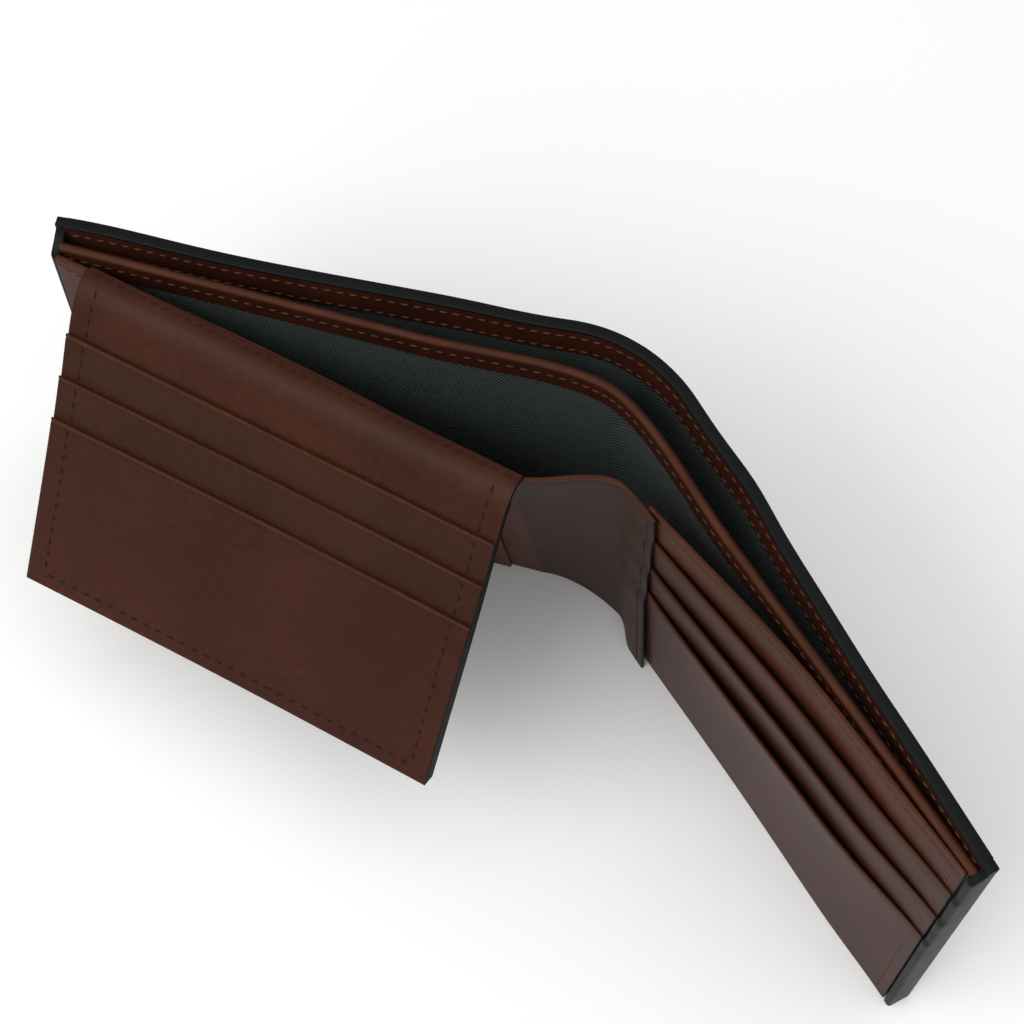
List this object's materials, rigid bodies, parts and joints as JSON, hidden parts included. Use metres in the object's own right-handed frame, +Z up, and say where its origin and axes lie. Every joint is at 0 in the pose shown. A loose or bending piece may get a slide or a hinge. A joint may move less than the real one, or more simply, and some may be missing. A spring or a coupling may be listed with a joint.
{
  "type": "bifold wallet",
  "caption": "Open bifold wallet standing on its edges, with bill compartments, card pockets, a soft centre panel and a hinged card flap.",
  "frame": {"origin": "middle of the spine at its bottom edge, half way through the outer leather", "axes": "+Z up along the spine, +X towards the free end of the right cover, the V opens towards -Y"},
  "size_m": [0.2194, 0.0966, 0.095],
  "materials": {
    "outer_leather": "smooth brown full-grain leather, black painted edges",
    "facing_leather": "dark reddish-brown leather",
    "inner_leather": "brown leather",
    "pocket_leather": "brown leather, slightly purple",
    "flap_leather": "brown leather, soft sheen",
    "binding_leather": "brown leather, turned edge",
    "lining_twill": "black twill"
  },
  "bodies": {
    "spine": {"shell_spine": "outer_leather", "lining_spine": "lining_twill", "facing_spine": "facing_leather", "divider_spine": "lining_twill", "divider_binding_spine": "binding_leather"},
    "left_cover": {"shell_left": "outer_leather", "lining_left": "lining_twill", "facing_left": "facing_leather"},
    "right_cover": {"shell_right": "outer_leather", "lining_right": "lining_twill", "facing_right": "facing_leather"},
    "left_divider": {"divider_left": "lining_twill", "divider_binding_left": "binding_leather"},
    "right_divider": {"divider_right": "lining_twill", "divider_binding_right": "binding_leather"},
    "left_inner": {"inner_panel_left": "inner_leather", "inner_lining_left": "lining_twill", "inner_hem_left": "inner_leather", "slip_pocket_left": "inner_leather"},
    "right_inner": {"inner_panel_right": "inner_leather", "inner_lining_right": "lining_twill", "pocket_right_top": "pocket_leather", "pocket_right_middle": "pocket_leather", "pocket_right_front": "pocket_leather"},
    "left_leaf": {"centre_panel_left": "inner_leather"},
    "right_leaf": {"centre_panel_right": "inner_leather"},
    "flap_root": {"flap_fold": "flap_leather"},
    "flap": {"flap_backing": "flap_leather", "flap_base": "flap_leather", "flap_pocket_top": "flap_leather", "flap_pocket_middle": "flap_leather", "flap_pocket_front": "flap_leather"}
  },
  "joints": [
    {"name": "left_fold", "type": "hinge", "parent": "spine", "child": "left_cover", "pos_m": [-0.0139, -0.00483, 0], "axis": [0, 0, 1], "range_deg": [-2.5, 66], "deforming": ["divider_spine", "divider_binding_spine"]},
    {"name": "right_fold", "type": "hinge", "parent": "spine", "child": "right_cover", "pos_m": [0.0139, -0.00483, 0], "axis": [0, 0, -1], "range_deg": [-3, 66.5]},
    {"name": "rear_compartment_left", "type": "hinge", "parent": "spine", "child": "left_divider", "pos_m": [-0.0164, -0.00889, 0], "axis": [0, 0, 1], "range_deg": [-3.11, 69.5]},
    {"name": "rear_compartment_right", "type": "hinge", "parent": "spine", "child": "right_divider", "pos_m": [0.0164, -0.00889, 0], "axis": [0, 0, -1], "range_deg": [-3.11, 69.5]},
    {"name": "front_compartment_left", "type": "hinge", "parent": "left_cover", "child": "left_inner", "pos_m": [-0.10639, -0.05116, 0], "axis": [0, 0, 1], "range_deg": [-1.01, 14.1], "deforming": ["inner_panel_left", "inner_lining_left", "slip_pocket_left"]},
    {"name": "front_compartment_right", "type": "hinge", "parent": "right_cover", "child": "right_inner", "pos_m": [0.10548, -0.05074, 0], "axis": [0, 0, -1], "range_deg": [-0.64, 4.2]},
    {"name": "centre_fold_left", "type": "hinge", "parent": "left_cover", "child": "left_leaf", "pos_m": [-0.01134, -0.01434, 0], "axis": [-0.1298, 0.0794, -0.9884], "range_deg": [-4.33, 101.71], "deforming": ["centre_panel_left"]},
    {"name": "centre_fold_right", "type": "hinge", "parent": "right_inner", "child": "right_leaf", "pos_m": [0.01954, -0.0164, 0], "axis": [0.0093, -0.0927, 0.9956], "range_deg": [-0.88, 10.5], "deforming": ["centre_panel_right"]},
    {"name": "flap_press", "type": "hinge", "parent": "left_inner", "child": "flap_root", "pos_m": [-0.09817, -0.05206, 0.093], "axis": [0.9891, 0.1473, 0], "range_deg": [-1.81, 35], "deforming": ["flap_backing", "flap_base", "flap_pocket_top", "flap_pocket_middle", "flap_pocket_front"]},
    {"name": "flap_lift", "type": "hinge", "parent": "flap_root", "child": "flap", "pos_m": [-0.09817, -0.05206, 0.093], "axis": [-0.9891, -0.1473, 0], "range_deg": [0, 145]}
  ],
  "couplings": [
    {"joint": "right_fold", "follows": "left_fold", "ratio": 1},
    {"joint": "rear_compartment_left", "follows": "left_fold", "ratio": 1.0455},
    {"joint": "rear_compartment_right", "follows": "left_fold", "ratio": 1.0455},
    {"joint": "front_compartment_left", "follows": "left_fold", "ratio": 0.20606},
    {"joint": "front_compartment_right", "follows": "left_fold", "ratio": 0.056061},
    {"joint": "centre_fold_left", "follows": "left_fold", "ratio": 1.5335},
    {"joint": "centre_fold_right", "follows": "left_fold", "ratio": 0.15152},
    {"joint": "flap_press", "follows": "left_fold", "ratio": 0.52273}
  ]
}
